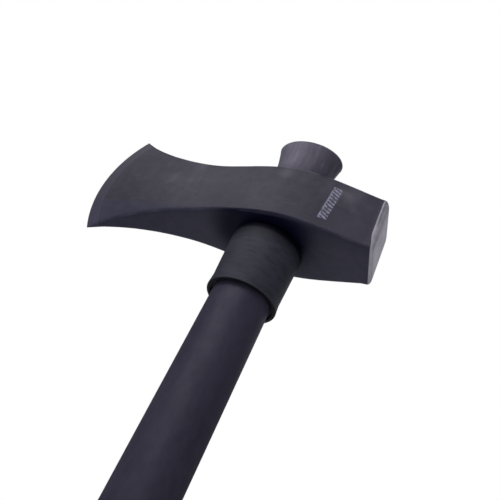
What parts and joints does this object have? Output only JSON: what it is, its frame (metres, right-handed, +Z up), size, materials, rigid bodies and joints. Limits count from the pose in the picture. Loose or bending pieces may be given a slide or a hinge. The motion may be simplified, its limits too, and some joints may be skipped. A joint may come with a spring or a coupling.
{
  "type": "splitting maul",
  "caption": "Splitting maul: a forged head with a flared bit and a flat poll, on a belled steel tube handle with a rubber collar under it and a ribbed rubber grip.",
  "frame": {"origin": "centre of the grip's flat butt face, on the handle's axis", "axes": "+Z up the handle to the head, -X to the cutting edge, +X to the striking poll, +Y to one cheek"},
  "size_m": [0.2095, 0.0616, 0.9],
  "materials": {
    "head_steel": "satin",
    "tube_paint": "satin",
    "collar_rubber": "matte",
    "grip_rubber": "matte",
    "plug_plastic": "matte"
  },
  "bodies": {
    "root": {"maul_head": "head_steel", "handle_tube": "tube_paint", "collar": "collar_rubber", "grip": "grip_rubber", "end_plug": "plug_plastic", "butt_plug": "plug_plastic"}
  },
  "joints": []
}
